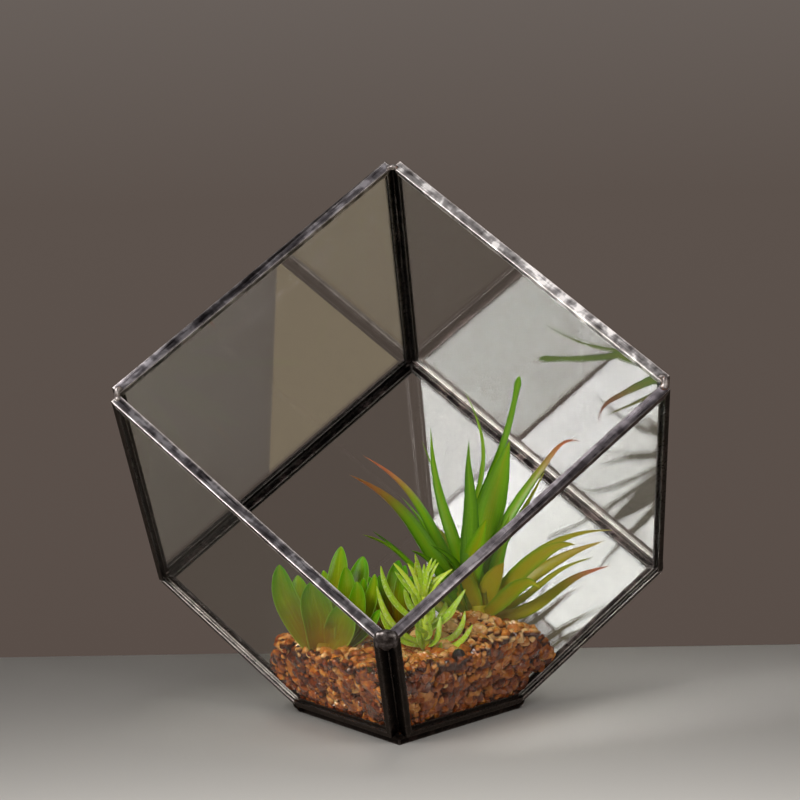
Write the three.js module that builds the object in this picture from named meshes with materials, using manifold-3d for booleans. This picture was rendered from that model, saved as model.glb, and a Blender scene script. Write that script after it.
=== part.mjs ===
// Glass plant terrarium: a cube of leaded glass that stands on a cut-off corner, its upper front face open,
// planted with four small artificial succulents in a bed of coarse quartz grit.
// Millimetres, +Z up, -Y toward the viewer. The origin is on the table, under the cube's upright diagonal.

import * as THREE from "three";
import { mergeVertices } from "three/addons/utils/BufferGeometryUtils.js";
import { ConvexGeometry } from "three/addons/geometries/ConvexGeometry.js";
import Module from "manifold-3d";

const wasm = await Module();
wasm.setup();

// Case
const EDGE = 150;            // inner edge of the glass cube
const CUT = 0.42;            // share of the three lowest edges that the base cuts off
const CAME_WIDTH = 4.2;      // across the glass's edge
const CAME_DEPTH = 3;        // from its web to the ends of its legs, over the glass
const CAME_WALL = 0.5;
const GLASS = 2.9;
const FIT = 0.15;            // clearance between pieces that lie against each other
const BASE_OVERHANG = 1;     // the base came stands this far outside the walls' lower corners
const BASE_SEAM = 0.95;      // height of the soldered seam between the base and the walls
const SOLDER_RADIUS = 3;
const SOLDER_LIFT = 0.9;     // from the corner to the middle of its solder

// Grit bed
const GRIT_CLEARANCE = 0.3;
const GRIT_LEVEL = 35;
const GRIT_SKIN = 3.2;        // layer of stones round the solid middle
const BED = { halfWidth: 72, front: 100, back: 50 };
const STONE = { least: 4.6, most: 6.8, spacing: 12.4, corners: 6 };
const GOLDEN_ANGLE = 2.4;

// Planting
const PLANT_CLEARANCE = 0.3; // between a plant and the grit it stands in

const footHeight = CAME_WIDTH + BASE_SEAM;
const tipHeight = footHeight - CUT * EDGE / Math.sqrt(3);   // the corner that is cut off lies below the table

const materials = {
  glass: new THREE.MeshStandardMaterial({ color: 0xc9cdc8, roughness: 0.05, transparent: true, opacity: 0.3 }),
  came: new THREE.MeshStandardMaterial({ color: 0x4b464a, roughness: 0.4, metalness: 0.9 }),
  solder: new THREE.MeshStandardMaterial({ color: 0x77726f, roughness: 0.3, metalness: 0.95 }),
  grit: new THREE.MeshStandardMaterial({ color: 0xa9682f, roughness: 0.45 }),
  longLeaf: new THREE.MeshStandardMaterial({ color: 0x4f9c1f, roughness: 0.45 }),
  paddleLeaf: new THREE.MeshStandardMaterial({ color: 0x3f9a1e, roughness: 0.3 }),
  needle: new THREE.MeshStandardMaterial({ color: 0xa6c83a, roughness: 0.5 }),
};

const part = new THREE.Group();

const vector = (x, y, z) => new THREE.Vector3(x, y, z);
const UP = vector(0, 0, 1);
const FRONT = vector(0, -1, 0);
const radians = THREE.MathUtils.degToRad;
const lerp = THREE.MathUtils.lerp;

function addMesh(parent, name, geometry, material) {
  const mesh = new THREE.Mesh(geometry, material);
  mesh.name = name;
  parent.add(mesh);
  return mesh;
}

// Solids for joining and cutting

function merged(geometry) {
  const bare = geometry.clone();
  bare.deleteAttribute("normal");
  bare.deleteAttribute("uv");
  return mergeVertices(bare, 1e-4);
}

function solidOf(geometry) {
  const { index, attributes } = merged(geometry);
  return new wasm.Manifold(new wasm.Mesh({
    numProp: 3,
    vertProperties: new Float32Array(attributes.position.array),
    triVerts: new Uint32Array(index.array),
  }));
}

function geometryOf(solid) {
  const { vertProperties, triVerts } = solid.getMesh();
  const geometry = new THREE.BufferGeometry();
  geometry.setAttribute("position", new THREE.BufferAttribute(vertProperties, 3));
  geometry.setIndex(new THREE.BufferAttribute(triVerts, 1));
  return geometry;
}

const joined = solids => solids.reduce((all, solid) => all.add(solid));

// The biggest body of a solid, without the loose scraps that a cut leaves.
function largestBody(solid) {
  return solid.decompose().reduce((best, body) => (body.volume() > best.volume() ? body : best));
}

// A closed skin over rings of points, from a flat first ring to a pointed tip.
function skinOverRings(rings, tip) {
  const count = rings[0].length;
  const points = [...rings.flat(), tip];
  const triangles = [];
  for (let i = 1; i < count - 1; i += 1) triangles.push(0, i + 1, i);
  for (let r = 0; r < rings.length - 1; r += 1) {
    for (let i = 0; i < count; i += 1) {
      const a = r * count + i;
      const b = r * count + (i + 1) % count;
      triangles.push(a, b, b + count, a, b + count, a + count);
    }
  }
  const last = (rings.length - 1) * count;
  for (let i = 0; i < count; i += 1) triangles.push(last + i, last + (i + 1) % count, points.length - 1);
  const geometry = new THREE.BufferGeometry();
  geometry.setAttribute("position", new THREE.Float32BufferAttribute(points.flatMap(p => p.toArray()), 3));
  geometry.setIndex(triangles);
  return geometry;
}

// Corners of the cube, by their compass angle from the front and their height above the cut-off tip,
// in thirds of the diagonal.

function ringCorner(compass, thirds) {
  const radius = EDGE * Math.sqrt(2 / 3);
  const angle = radians(compass);
  return vector(radius * Math.sin(angle), -radius * Math.cos(angle), tipHeight + thirds * EDGE / Math.sqrt(3));
}

const cubeTip = vector(0, 0, tipHeight);
const corners = {
  apex: vector(0, 0, tipHeight + EDGE * Math.sqrt(3)),
  left: ringCorner(-60, 2),
  right: ringCorner(60, 2),
  back: ringCorner(180, 2),
  front: ringCorner(0, 1),
  low_left: ringCorner(-120, 1),
  low_right: ringCorner(120, 1),
};
for (const [foot, lower] of [["foot_front", "front"], ["foot_left", "low_left"], ["foot_right", "low_right"]]) {
  corners[foot] = cubeTip.clone().lerp(corners[lower], CUT);
}
const cubeMiddle = corners.apex.clone().lerp(cubeTip, 0.5);

const walls = {
  back_left: ["apex", "left", "low_left", "back"],
  back_right: ["apex", "back", "low_right", "right"],
  front_left: ["left", "front", "foot_front", "foot_left", "low_left"],
  front_right: ["front", "right", "low_right", "foot_right", "foot_front"],
  rear: ["back", "low_left", "foot_left", "foot_right", "low_right"],
};

// A pane lies in a group of its own: the group's XY plane is the pane's inner face and its Z points outward.

function paneFrame(points) {
  const middle = points.reduce((sum, p) => sum.add(p), vector(0, 0, 0)).divideScalar(points.length);
  const along = points[1].clone().sub(points[0]).normalize();
  const outward = along.clone().cross(middle.clone().sub(points[0])).normalize();
  const flipped = outward.dot(cubeMiddle.clone().sub(middle)) > 0;
  if (flipped) {
    along.negate();
    outward.negate();
  }
  const frame = new THREE.Group();
  frame.quaternion.setFromRotationMatrix(
    new THREE.Matrix4().makeBasis(along, outward.clone().cross(along), outward));
  frame.position.copy(middle);
  frame.updateMatrix();
  frame.updateMatrixWorld(true);
  part.add(frame);
  const outline = points.map(p => frame.worldToLocal(p.clone())).map(p => new THREE.Vector2(p.x, p.y));
  return { frame, outline: flipped ? outline.reverse() : outline, flipped };
}

// The outline's corner i, moved in by the same distance from both of its edges.
function insetCorner(outline, i, distance) {
  const here = outline[i];
  const before = outline.at(i - 1).clone().sub(here).normalize();
  const after = outline[(i + 1) % outline.length].clone().sub(here).normalize();
  const sine = Math.abs(before.cross(after));
  return here.clone().addScaledVector(before.add(after), distance / sine);
}

// One mitred came strip along edge i: the section's x runs in over the glass, its y outward.
function cameStrip(outline, i, section, endGap) {
  const geometry = new THREE.ExtrudeGeometry(section, { depth: 1, bevelEnabled: false });
  const next = (i + 1) % outline.length;
  const along = outline[next].clone().sub(outline[i]).normalize();
  const position = geometry.attributes.position;
  for (let v = 0; v < position.count; v += 1) {
    const inset = position.getX(v);
    const outward = position.getY(v);
    const atEnd = position.getZ(v) > 0.5;
    const place = insetCorner(outline, atEnd ? next : i, inset);
    place.addScaledVector(along, atEnd ? -endGap : endGap);
    position.setXYZ(v, place.x, place.y, outward);
  }
  return geometry;
}

function cameSection() {
  const inner = FIT + CAME_DEPTH;
  const web = FIT + CAME_WALL;
  return new THREE.Shape([
    [FIT, 0], [inner, 0], [inner, CAME_WALL], [web, CAME_WALL],
    [web, CAME_WIDTH - CAME_WALL], [inner, CAME_WIDTH - CAME_WALL], [inner, CAME_WIDTH], [FIT, CAME_WIDTH],
  ].map(([x, y]) => new THREE.Vector2(x, y)));
}

// The came as a plain bar with clearance round it, to cut the solder by.
function cameBar() {
  const inner = FIT + CAME_DEPTH + FIT;
  return new THREE.Shape([[0, -FIT], [inner, -FIT], [inner, CAME_WIDTH + FIT], [0, CAME_WIDTH + FIT]]
    .map(([x, y]) => new THREE.Vector2(x, y)));
}

const cameBars = [];

function addPane(name, cornerNames, points) {
  const { frame, outline, flipped } = paneFrame(points);
  const names = flipped ? [...cornerNames].reverse() : cornerNames;
  const glassOutline = outline.map((_, i) => insetCorner(outline, i, FIT + CAME_WALL + FIT));
  const glass = new THREE.ExtrudeGeometry(new THREE.Shape(glassOutline), { depth: GLASS, bevelEnabled: false });
  glass.translate(0, 0, (CAME_WIDTH - GLASS) / 2);
  addMesh(frame, `glass_${name}`, glass, materials.glass);
  outline.forEach((_, i) => {
    const to = names[(i + 1) % names.length];
    const strip = cameStrip(outline, i, cameSection(), FIT / 2);
    addMesh(frame, `came_${name}_${names[i]}_${to}`, strip, materials.came);
    cameBars.push(solidOf(cameStrip(outline, i, cameBar(), 0).applyMatrix4(frame.matrixWorld)));
  });
}

function addCase() {
  for (const [name, names] of Object.entries(walls)) addPane(name, names, names.map(n => corners[n]));
  const feet = ["foot_front", "foot_right", "foot_left"];
  const reach = Math.hypot(corners.foot_front.x, corners.foot_front.y);
  const baseCorners = feet.map(n => corners[n].clone().setZ(0)
    .multiplyScalar((reach + 2 * BASE_OVERHANG) / reach).setZ(CAME_WIDTH));
  addPane("base", feet, baseCorners);
}

// Solder fills the notch between the cames at each corner and stands slightly proud of it.
function addSolder() {
  const wallNormals = Object.values(walls).map(names => {
    const [a, b, c] = names.map(n => corners[n]);
    const normal = b.clone().sub(a).cross(c.clone().sub(a)).normalize();
    return normal.dot(cubeMiddle.clone().sub(a)) > 0 ? normal.negate() : normal;
  });
  const bars = joined(cameBars);
  for (const [name, corner] of Object.entries(corners)) {
    const outward = vector(0, 0, name.startsWith("foot") ? -1 : 0);
    Object.values(walls).forEach((names, i) => {
      if (names.includes(name)) outward.add(wallNormals[i]);
    });
    outward.normalize();
    const ball = new THREE.IcosahedronGeometry(SOLDER_RADIUS);
    ball.translate(...corner.clone().addScaledVector(outward, SOLDER_LIFT).toArray());
    const size = 4 * SOLDER_RADIUS;
    const outside = new THREE.BoxGeometry(size, size, size);
    outside.translate(0, 0, size / 2 + 2 * FIT);
    outside.applyQuaternion(new THREE.Quaternion().setFromUnitVectors(vector(0, 0, 1), outward));
    outside.translate(...corner.toArray());
    const aboveTable = new THREE.BoxGeometry(size, size, size);
    aboveTable.translate(corner.x, corner.y, Math.max(corner.z, size / 2 + 2 * FIT));
    const blob = solidOf(ball).intersect(solidOf(outside)).intersect(solidOf(aboveTable)).subtract(bars);
    addMesh(part, `solder_${name}`, geometryOf(largestBody(blob)), materials.solder);
  }
}

// Leaves. A leaf leaves its root toward a compass angle (0 is the front, 90 the right) and ends reach mm out
// and height mm up. Its middle stands arch mm above the straight line and sway mm to the side of it. Its upper
// face looks at the plant's axis where facing is 0 and at the viewer where it is 1, twist degrees turn it on
// the way to the tip, and curl bends the tip down.

const leafForms = {
  // thick channelled blade, widest in its lower third and drawn out to a point
  long: {
    widthAt: u => (0.75 + 1.2 * u) * (1 - u) ** 1.05 / 0.79,
    thickness: 0.32,
    rootOffset: 2,
    stations: [0, 0.2, 0.44, 0.68, 0.88],
  },
  // plump paddle, narrow at its foot and rounded at its tip
  paddle: {
    widthAt: u => (0.45 + 0.8 * u) * Math.sqrt(1 - u ** 6) / 0.96,
    thickness: 0.34,
    rootOffset: 1.5,
    stations: [0, 0.2, 0.42, 0.66, 0.85, 0.96],
  },
  // slim fleshy needle with a blunt tip
  needle: {
    widthAt: u => 0.7 + 0.6 * u - 0.75 * u ** 2,
    thickness: 0.62,
    rootOffset: 1,
    stations: [0, 0.5, 0.88],
  },
};
const LEAST_THICKNESS = 0.7;

// Points of a section across a leaf: x is across it, y toward its upper face, both in shares of its size.
const leafSection = [[-0.5, 0.2], [-0.24, -0.5], [0.24, -0.5], [0.5, 0.2], [0.2, 0.36], [-0.2, 0.36]];
const needleSection = [[-0.5, 0.25], [0, -0.5], [0.5, 0.25]];

function leaf(root, row, form, section, grow) {
  const [compass, reach, height, arch, sway, width, facing = 0, twist = 0, curl = 0] = row;
  const out = vector(Math.sin(radians(compass)), -Math.cos(radians(compass)), 0);
  const aside = vector(-out.y, out.x, 0);
  const start = Math.min(reach / 2, form.rootOffset);
  const spineAt = u => {
    const bow = 4 * u * (1 - u);
    const droop = curl * Math.max(0, (u - 0.8) / 0.2) ** 2;
    return root.clone().addScaledVector(out, lerp(start, reach, u))
      .addScaledVector(UP, height * u + arch * bow - droop).addScaledVector(aside, sway * bow);
  };
  const inward = UP.clone().addScaledVector(out, -0.5).normalize();
  const looking = inward.lerp(FRONT, facing);
  const rings = form.stations.map(u => {
    const ahead = spineAt(u + 0.02).sub(spineAt(u)).normalize();
    const side = looking.clone().cross(ahead).normalize().applyAxisAngle(ahead, radians(twist) * u);
    const face = ahead.clone().cross(side);
    const wide = width * form.widthAt(u) + 2 * grow;
    const thick = Math.max(LEAST_THICKNESS, width * form.widthAt(u) * form.thickness) + 2 * grow;
    return section.map(([x, y]) => spineAt(u).addScaledVector(side, wide * x).addScaledVector(face, thick * y));
  });
  return solidOf(skinOverRings(rings, spineAt(1 + grow / Math.hypot(reach, height))));
}

// A round stub from one height to another.
function stub(root, radius, from, to, sides = 8) {
  const geometry = new THREE.CylinderGeometry(radius, radius, to - from, sides);
  geometry.rotateX(Math.PI / 2);
  geometry.translate(root.x, root.y, (from + to) / 2);
  return solidOf(geometry);
}

// compass, reach, height, arch, sway, width, facing, twist, curl
const longLeafPlant = {
  root: vector(30, 12, 42),
  stub: { radius: 4.5, below: 14, above: 5 },
  leaves: [
    [117, 22, 99, 0, -1.5, 13, 0.7, 80],
    [-6, 12, 74, 0, -3.5, 8, 0.5],
    [-170, 20, 93, 2, -6, 4, 0.9],
    [-97, 18, 79, 0, 0.5, 6, 0.8],
    [-111, 51, 66, 4, 0, 6, 0.6],
    [-72, 53, 61, 5, -2, 8.5, 0.6],
    [-120, 36, 48, 4, 2.5, 4, 0.5],
    [-68, 48, 37, 3, -3, 4.5, 0.5],
    [-82, 42, 37, 0, -1, 4.5, 0.5],
    [-62, 30, 30, 3, -2, 7, 0.5],
    [-45, 26, 32, 3, 0, 7.5, 0.5],
    [104, 44, 72, 6, -1, 8, 0.7, 0, 2],
    [132, 42, 59, 2, -2, 5, 0.6],
    [111, 61, 33, 9, -1, 6, 0.6],
    [62, 47, 32, 6, -1, 9, 0.7, 0, 2],
    [90, 54, 32, 4, 0, 7, 0.6],
    [111, 51, 22, 1, 0, 5, 0.6],
    [100, 57, 19, 0, 0, 6, 0.6],
    [37, 43, 16, 4.5, 0, 7, 0.7, 0, 2],
    [28, 11, 42, 0, -1, 8, 0.6],
    [139, 19, 41, 0, -1, 7, 0.6],
    [43, 27, 35, 0, 1.5, 4.5, 0.6],
    [178, 30, 28, 4, 0, 7.5],
    [-150, 34, 34, 4, 0, 7],
  ],
};

const leftPaddlePlant = {
  root: vector(-31, -16, 33),
  stub: { radius: 3.6, below: 5, above: 4 },
  leaves: [
    [-51, 22, 36, -1, -3, 11, 0.5],
    [-110, 12, 31, 0, 1, 10, 0.8],
    [-6, 24, 29, 0, 0, 13],
    [27, 22, 21, 0, 0, 12],
    [147, 12, 41, 0, -1, 9.5, 0.8],
    [148, 28, 35, 1, -2.5, 8.5, 0.5],
    [0, 2, 33, 0, 0, 7],
    [53, 13, 34, 0, 1, 8, 0.4],
    [45, 20, 30, 0, 1, 8, 0.2],
    [77, 17, 30, -1, 0, 7, 0.5],
    [101, 20, 30, -1, -1, 7, 0.6],
    [-150, 26, 27, 0, 0, 10],
    [180, 24, 25, 0, 0, 9],
  ],
};

const middlePaddlePlant = {
  root: vector(-2, 3, 34),
  stub: { radius: 3, below: 9, above: 4 },
  leaves: [
    [-51, 3, 33, 0, -1, 7.5],
    [-60, 12, 29, 0, -1.5, 6.5],
    [12, 9, 31, 0, -1.5, 6.5],
    [-100, 15, 22, 0, -1, 6],
    [150, 10, 25, 0, 0, 6.5],
    [180, 13, 25, 0, 0, 7],
    [-145, 17, 23, 0, 0, 6.5],
    [70, 12, 22, 0, 0, 6],
  ],
};

// The sedum's needles stand in whorls, flatter at the foot and steeper toward the head. Each whorl's place is
// to the right of the root and above it; a second, smaller head leans out to the left.
const sedum = {
  root: vector(10, -30, 34),
  stem: { radius: 2.1, below: 6, above: 23 },
  sideStem: { foot: 8, right: -7, above: 17 },
  width: 2.8,
  whorls: [
    { right: 0, above: 3, count: 6, rise: 22, length: 16, turn: 25 },
    { right: 0, above: 6, count: 5, rise: 42, length: 20, turn: 52 },
    { right: 0, above: 13, count: 5, rise: 40, length: 17, turn: 10 },
    { right: -7, above: 16, count: 5, rise: 48, length: 16, turn: 32 },
    { right: -7, above: 17, count: 3, rise: 74, length: 17, turn: 10 },
    { right: 0, above: 19, count: 6, rise: 52, length: 17, turn: 38 },
    { right: 0, above: 21, count: 5, rise: 66, length: 17, turn: 12 },
    { right: 0, above: 22, count: 3, rise: 80, length: 15, turn: 40 },
  ],
};

function rosette(plant, form, grow = 0) {
  const { root } = plant;
  const { radius, below, above } = plant.stub;
  const solids = plant.leaves.map(row => leaf(root, row, form, leafSection, grow));
  return joined([stub(root, radius + grow, root.z - below - grow, root.z + above + grow), ...solids]);
}

// A slim stem between two places.
function stem(from, to, radius) {
  const length = from.distanceTo(to);
  const geometry = new THREE.CylinderGeometry(radius, radius, length, 6);
  geometry.translate(0, length / 2, 0);
  geometry.applyQuaternion(new THREE.Quaternion().setFromUnitVectors(vector(0, 1, 0),
    to.clone().sub(from).normalize()));
  geometry.translate(from.x, from.y, from.z);
  return solidOf(geometry);
}

function sedumSpray(grow = 0) {
  const { root, sideStem, whorls, width } = sedum;
  const placeAt = (right, above) => root.clone().add(vector(right, 0, above));
  const needles = whorls.flatMap(({ right, above, count, rise, length, turn }) =>
    Array.from({ length: count }, (_, i) => {
      const row = [turn + i * 360 / count, length * Math.cos(radians(rise)), length * Math.sin(radians(rise)),
        1.2, 0, width];
      return leaf(placeAt(right, above), row, leafForms.needle, needleSection, grow);
    }));
  const radius = sedum.stem.radius + grow;
  return joined([
    stem(placeAt(0, -sedum.stem.below - grow), placeAt(0, sedum.stem.above + grow), radius),
    stem(placeAt(0, sideStem.foot), placeAt(sideStem.right, sideStem.above), radius),
    ...needles,
  ]);
}

// Grit

// Repeatable random numbers from 0 to 1.
function seeded(seed) {
  let state = seed;
  return () => {
    state = (state * 1664525 + 1013904223) % 4294967296;
    return state / 4294967296;
  };
}

const hump = (x, y, cx, cy, spread) => Math.exp(-((x - cx) ** 2 + (y - cy) ** 2) / spread ** 2);
const fall = (value, from, to) => THREE.MathUtils.smoothstep(value, from, to);

// Height of the bed's top: level, heaped round the long-leaved plant, and steep at its two ends.
function gritTop(x, y) {
  return GRIT_LEVEL + 11 * hump(x, y, 26, -4, 24) + 3 * hump(x, y, -46, 4, 12)
    - 30 * fall(-x, 54, 67) - 26 * fall(x, 50, 78) - 14 * fall(y, 22, 46);
}

const wallCompass = [-60, 60, 180];

// How deep a place lies inside the three lower walls.
function depthInWalls({ x, y, z }) {
  const outward = Math.max(...wallCompass.map(c => x * Math.sin(radians(c)) - y * Math.cos(radians(c))));
  return (z - tipHeight) / Math.sqrt(3) - outward * Math.sqrt(2 / 3);
}

// The inside of the case's lower corner, moved in by a clearance: a three-sided funnel cut flat at the base.
function funnel(clearance) {
  const low = CAME_WIDTH + clearance;
  const high = EDGE / 2;
  const radiusAt = z => Math.SQRT2 * (z - tipHeight - clearance * Math.sqrt(3));
  const geometry = new THREE.CylinderGeometry(radiusAt(high), radiusAt(low), high - low, 3);
  geometry.rotateX(Math.PI / 2);
  geometry.translate(0, 0, (low + high) / 2);
  return solidOf(geometry);
}

// The solid middle of the bed, with a faceted top.
function gritMiddle(random) {
  const [west, east, south, north] = [-BED.halfWidth, BED.halfWidth, -BED.front, BED.back];
  const geometry = new THREE.BoxGeometry(east - west, north - south, 1,
    Math.round((east - west) / STONE.spacing), Math.round((north - south) / STONE.spacing), 1);
  geometry.translate((east + west) / 2, (north + south) / 2, 0);
  const block = merged(geometry);
  const position = block.attributes.position;
  for (let v = 0; v < position.count; v += 1) {
    const top = gritTop(position.getX(v), position.getY(v)) - GRIT_SKIN / 2 + 2 * (random() - 0.5);
    position.setZ(v, position.getZ(v) > 0 ? Math.max(top, CAME_WIDTH + GRIT_SKIN) : 0);
  }
  return solidOf(block).intersect(funnel(GRIT_SKIN));
}

// One angular stone: the hull of a few points on a flattened ball.
function stone(place, radius, random) {
  const corner = (_, i) => {
    const height = 1 - 2 * (i + 0.5) / STONE.corners;
    const ring = Math.sqrt(1 - height ** 2);
    const angle = GOLDEN_ANGLE * i + random();
    return vector(ring * Math.cos(angle), ring * Math.sin(angle), height)
      .multiplyScalar(radius * (0.85 + 0.3 * random()));
  };
  const geometry = new ConvexGeometry(Array.from({ length: STONE.corners }, corner));
  geometry.scale(1, 0.8 + 0.2 * random(), 0.7 + 0.3 * random());
  const turn = () => 2 * Math.PI * random();
  geometry.applyQuaternion(new THREE.Quaternion().setFromEuler(new THREE.Euler(turn(), turn(), turn())));
  geometry.translate(place.x, place.y, place.z);
  return solidOf(geometry);
}

// Stones that cover the bed, on jittered grids: one over its top, and one against each wall.
function skinStones(random) {
  const jitter = () => (random() - 0.5) * STONE.spacing / 2;
  const places = [];
  for (let x = -BED.halfWidth; x < BED.halfWidth; x += STONE.spacing) {
    for (let y = -BED.front; y < BED.back; y += STONE.spacing) {
      places.push(vector(x + jitter(), y + jitter(), gritTop(x, y)));
    }
  }
  for (const compass of wallCompass) {
    const outward = vector(Math.sin(radians(compass)), -Math.cos(radians(compass)), 0);
    const along = outward.clone().cross(UP);
    for (let z = CAME_WIDTH + GRIT_SKIN; z < GRIT_LEVEL; z += STONE.spacing * 0.8) {
      const reach = ((z - tipHeight) / Math.sqrt(3) - GRIT_SKIN) / Math.sqrt(2 / 3);
      for (let s = -BED.front; s < BED.front; s += STONE.spacing) {
        const place = outward.clone().multiplyScalar(reach).addScaledVector(along, s + jitter()).setZ(z);
        if (z < gritTop(place.x, place.y)) places.push(place);
      }
    }
  }
  return places.filter(place => depthInWalls(place) > GRIT_SKIN / 2 && place.z > CAME_WIDTH + GRIT_SKIN / 2)
    .map(place => stone(place, lerp(STONE.least, STONE.most, random()), random));
}

function gritBed(plants) {
  const random = seeded(7);
  const heap = joined([gritMiddle(random), ...skinStones(random)]).intersect(funnel(GRIT_CLEARANCE));
  return largestBody(heap.subtract(joined(plants)));
}

addCase();
addSolder();
addMesh(part, "grit_bed", geometryOf(gritBed([
  rosette(longLeafPlant, leafForms.long, PLANT_CLEARANCE),
  rosette(leftPaddlePlant, leafForms.paddle, PLANT_CLEARANCE),
  rosette(middlePaddlePlant, leafForms.paddle, PLANT_CLEARANCE),
  sedumSpray(PLANT_CLEARANCE),
])), materials.grit);
addMesh(part, "long_leaf_succulent", geometryOf(rosette(longLeafPlant, leafForms.long)), materials.longLeaf);
addMesh(part, "paddle_succulent_left", geometryOf(rosette(leftPaddlePlant, leafForms.paddle)),
  materials.paddleLeaf);
addMesh(part, "paddle_succulent_middle", geometryOf(rosette(middlePaddlePlant, leafForms.paddle)),
  materials.paddleLeaf);
addMesh(part, "sedum_spray", geometryOf(sedumSpray()), materials.needle);

export default part;
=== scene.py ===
"""The look of a glass plant terrarium: glass in came, soldered corners, quartz grit and moulded succulents.

Lengths are in millimetres until a mesh is made. The frame is the part's own: +Z up, -Y toward the viewer.
"""

import math

import bmesh
import bpy
import numpy as np
from mathutils import Matrix, Vector, noise


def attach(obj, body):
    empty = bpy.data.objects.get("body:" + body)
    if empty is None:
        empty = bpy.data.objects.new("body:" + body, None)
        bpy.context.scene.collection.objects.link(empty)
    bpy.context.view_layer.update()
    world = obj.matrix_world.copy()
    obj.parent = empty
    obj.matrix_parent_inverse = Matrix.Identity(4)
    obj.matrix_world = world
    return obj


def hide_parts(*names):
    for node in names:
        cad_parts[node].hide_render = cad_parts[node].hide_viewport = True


MM = 0.001

# Sockets of a colour Mix node: the colour at factor 0, the one at factor 1, and the result.
UNDER, OVER, MIXED = 6, 7, 2

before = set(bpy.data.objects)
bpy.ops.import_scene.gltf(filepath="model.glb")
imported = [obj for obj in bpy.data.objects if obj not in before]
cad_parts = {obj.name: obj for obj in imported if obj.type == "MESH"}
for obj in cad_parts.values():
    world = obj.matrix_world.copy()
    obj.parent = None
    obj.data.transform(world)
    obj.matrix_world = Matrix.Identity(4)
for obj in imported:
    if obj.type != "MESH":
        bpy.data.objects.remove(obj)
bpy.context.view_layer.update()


# Colour and node helpers


def paint(hex_colour):
    """An sRGB hex colour as linear RGBA."""
    channels = [int(hex_colour[i:i + 2], 16) / 255 for i in (0, 2, 4)]
    return [c / 12.92 if c <= 0.04045 else ((c + 0.055) / 1.055) ** 2.4 for c in channels] + [1]


def add(tree, kind, settings):
    """Add a node. Each setting is a property, colour stops, or a socket's value or link."""
    node = tree.nodes.new(kind)
    for key, value in settings.items():
        if key == "stops":
            ramp = node.color_ramp
            while len(ramp.elements) < len(value):
                ramp.elements.new(0.5)
            for element, (position, colour) in zip(ramp.elements, value):
                element.position = position
                element.color = colour
        elif isinstance(value, bpy.types.NodeSocket):
            tree.links.new(value, node.inputs[key])
        elif isinstance(key, str) and key in node.bl_rna.properties:
            setattr(node, key, value)
        else:
            node.inputs[key].default_value = value
    return node


def new_material(name):
    """An empty node material and its output's surface socket."""
    material = bpy.data.materials.new(name)
    material.use_nodes = True
    tree = material.node_tree
    tree.nodes.clear()
    output = tree.nodes.new("ShaderNodeOutputMaterial")
    return material, tree, output.inputs["Surface"]


# Case finishes


def float_glass(name, ior):
    """Soda-lime float glass: clear, with a faint warm grey tint. Lamps shine through it on the plants."""
    material, tree, surface = new_material(name)
    glass = add(tree, "ShaderNodeBsdfPrincipled", {
        "Base Color": paint("f5f6f3"), "Roughness": 0.0, "IOR": ior, "Transmission Weight": 1.0})
    clear = add(tree, "ShaderNodeBsdfTransparent", {"Color": paint("f8f8f6")})
    rays = add(tree, "ShaderNodeLightPath", {})
    mix = add(tree, "ShaderNodeMixShader", {
        0: rays.outputs["Is Shadow Ray"], 1: glass.outputs[0], 2: clear.outputs[0]})
    tree.links.new(mix.outputs[0], surface)
    return material


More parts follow.
